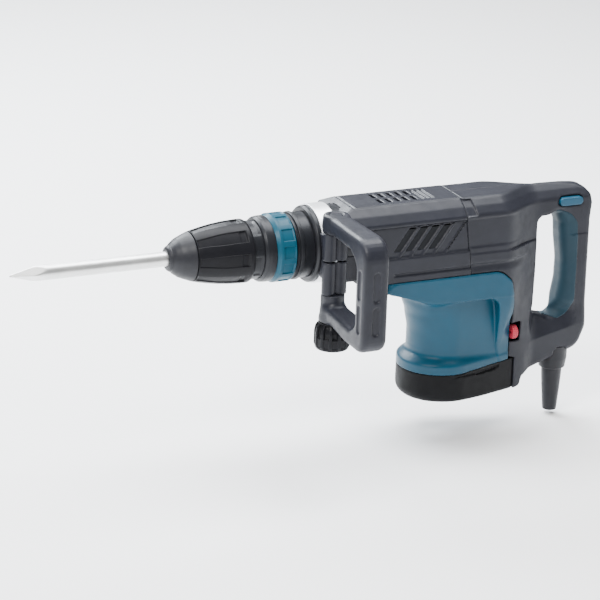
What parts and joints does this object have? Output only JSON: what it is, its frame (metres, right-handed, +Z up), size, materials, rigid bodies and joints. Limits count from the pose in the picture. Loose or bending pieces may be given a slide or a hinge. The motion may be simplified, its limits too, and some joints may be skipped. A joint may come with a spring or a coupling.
{
  "type": "demolition hammer",
  "caption": "Electric demolition hammer with a bull-point bit, quick-change tool holder, swinging side loop handle, upright motor housing and rear D-handle.",
  "frame": {"origin": "centre of the nose of the tool holder, on the striking axis", "axes": "+X along the striking axis towards the rear handle, +Z up, +Y to the operator's right when the bit points away"},
  "size_m": [0.762, 0.231, 0.311],
  "materials": {
    "bright_steel": "satin ground steel",
    "dark_steel": "phosphated steel",
    "black_plastic": "fine spark-eroded moulded texture",
    "black_rubber": "matt moulded rubber",
    "collar_paint": "satin black paint on aluminium",
    "teal_plastic": "fine moulded texture, low sheen",
    "teal_ring": "smooth moulded plastic",
    "teal_rubber": "soft-touch elastomer",
    "red_dial": "glossy coloured plastic",
    "cast_alloy": "die-cast aluminium",
    "barrel_alloy": "satin black painted aluminium",
    "copper": "enamelled copper wire",
    "brass": "pressed brass",
    "carbon": "pressed carbon",
    "lamination": "stacked electrical steel",
    "circuit": "potted circuit board",
    "white_plastic": "plain moulded plastic"
  },
  "bodies": {
    "housing": {"barrel_collar": "collar_paint", "holder_seal": "black_rubber", "barrel": "barrel_alloy", "barrel_screws": "dark_steel", "top_cover": "black_plastic", "crank_cover": "black_plastic", "gear_housing": "cast_alloy", "motor_housing": "teal_plastic", "base_cover": "black_plastic", "rear_handle_left": "black_plastic", "rear_handle_right": "black_plastic", "soft_grip": "teal_rubber", "switch_body": "carbon", "speed_controller": "circuit", "cord_guard": "black_rubber", "cord_clamp": "black_plastic", "terminal_block": "white_plastic", "stator_core": "lamination", "field_windings": "copper", "fan_baffle": "black_plastic", "upper_motor_bearing": "bright_steel", "lower_motor_bearing": "bright_steel", "brush_holder_left": "brass", "brush_holder_right": "brass", "carbon_brush_left": "carbon", "carbon_brush_right": "carbon", "crank_bearing": "bright_steel", "cylinder_sleeve": "dark_steel", "housing_screws": "dark_steel"},
    "tool_holder": {"tool_holder": "dark_steel", "neck_sleeve": "collar_paint", "cover_spring": "dark_steel"},
    "release_cover": {"release_cover": "black_plastic", "nose_cap": "black_rubber"},
    "change_ring": {"change_ring": "teal_ring", "ring_flange": "collar_paint"},
    "locking_ball_top": {"locking_ball_top": "bright_steel"},
    "locking_ball_bottom": {"locking_ball_bottom": "bright_steel"},
    "chisel": {"chisel": "bright_steel"},
    "impact_bolt": {"impact_bolt": "dark_steel"},
    "striker": {"striker": "dark_steel"},
    "piston": {"piston": "cast_alloy", "piston_ring": "black_rubber", "wrist_pin": "bright_steel", "connecting_rod": "cast_alloy"},
    "crankshaft": {"crankshaft": "dark_steel", "crank_gear": "dark_steel"},
    "armature": {"armature_shaft": "dark_steel", "armature_core": "lamination", "commutator": "copper", "cooling_fan": "black_plastic"},
    "handle_clamp": {"clamp_band": "bright_steel", "upper_clamp_jaw": "black_plastic", "lower_clamp_jaw": "black_plastic"},
    "side_grip": {"side_grip": "black_plastic", "clamp_bolt": "dark_steel"},
    "clamp_knob": {"clamp_knob": "black_plastic"},
    "switch_lever": {"switch_lever": "teal_plastic"},
    "speed_dial": {"speed_dial": "red_dial"}
  },
  "joints": [
    {"name": "bit_turn", "type": "hinge", "parent": "housing", "child": "tool_holder", "pos_m": [0.1, 0, 0], "axis": [1, 0, 0], "continuous": true},
    {"name": "cover_pull", "type": "slide", "parent": "tool_holder", "child": "release_cover", "axis": [1, 0, 0], "range_m": [0, 0.0075], "stiffness_N_per_m": 1500, "springref_m": -0.01, "deforming": ["cover_spring"]},
    {"name": "ring_pull", "type": "slide", "parent": "tool_holder", "child": "change_ring", "axis": [-1, 0, 0], "range_m": [0, 0.0045], "stiffness_N_per_m": 1200, "springref_m": -0.008},
    {"name": "top_ball_release", "type": "slide", "parent": "tool_holder", "child": "locking_ball_top", "axis": [0, 0, 1], "range_m": [0, 0.0034]},
    {"name": "bottom_ball_release", "type": "slide", "parent": "tool_holder", "child": "locking_ball_bottom", "axis": [0, 0, -1], "range_m": [0, 0.0034]},
    {"name": "bit_play", "type": "slide", "parent": "tool_holder", "child": "chisel", "axis": [-1, 0, 0], "range_m": [0, 0.014]},
    {"name": "bolt_slide", "type": "slide", "parent": "tool_holder", "child": "impact_bolt", "axis": [-1, 0, 0], "range_m": [0, 0.0141]},
    {"name": "striker_slide", "type": "slide", "parent": "housing", "child": "striker", "axis": [1, 0, 0], "range_m": [-0.006, 0.012]},
    {"name": "piston_slide", "type": "slide", "parent": "housing", "child": "piston", "axis": [1, 0, 0], "range_m": [0, 0.032]},
    {"name": "armature_spin", "type": "hinge", "parent": "housing", "child": "armature", "pos_m": [0.378, 0, 0], "axis": [0, 0, 1], "continuous": true},
    {"name": "crank_turn", "type": "hinge", "parent": "housing", "child": "crankshaft", "pos_m": [0.33, 0, 0], "axis": [0, 0, 1], "continuous": true},
    {"name": "clamp_swing", "type": "hinge", "parent": "housing", "child": "handle_clamp", "pos_m": [0.192, 0, 0], "axis": [1, 0, 0], "continuous": true},
    {"name": "grip_yaw", "type": "hinge", "parent": "handle_clamp", "child": "side_grip", "pos_m": [0.192, -0.062, 0], "axis": [0, 0, 1], "range_deg": [-90, 45]},
    {"name": "knob_turn", "type": "hinge", "parent": "side_grip", "child": "clamp_knob", "pos_m": [0.192, -0.062, -0.1], "axis": [0, 0, 1], "range_deg": [0, 720]},
    {"name": "switch_slide", "type": "slide", "parent": "housing", "child": "switch_lever", "axis": [0, 1, 0], "range_m": [0, 0.006]},
    {"name": "speed_turn", "type": "hinge", "parent": "housing", "child": "speed_dial", "pos_m": [0.456, -0.0295, -0.1345], "axis": [1, 0, 0], "range_deg": [-135, 135]}
  ],
  "couplings": [
    {"joint": "top_ball_release", "follows": "cover_pull", "ratio": 0.44},
    {"joint": "bottom_ball_release", "follows": "cover_pull", "ratio": 0.44},
    {"joint": "bolt_slide", "follows": "bit_play", "ratio": 1},
    {"joint": "crank_turn", "follows": "armature_spin", "ratio": -0.2}
  ]
}
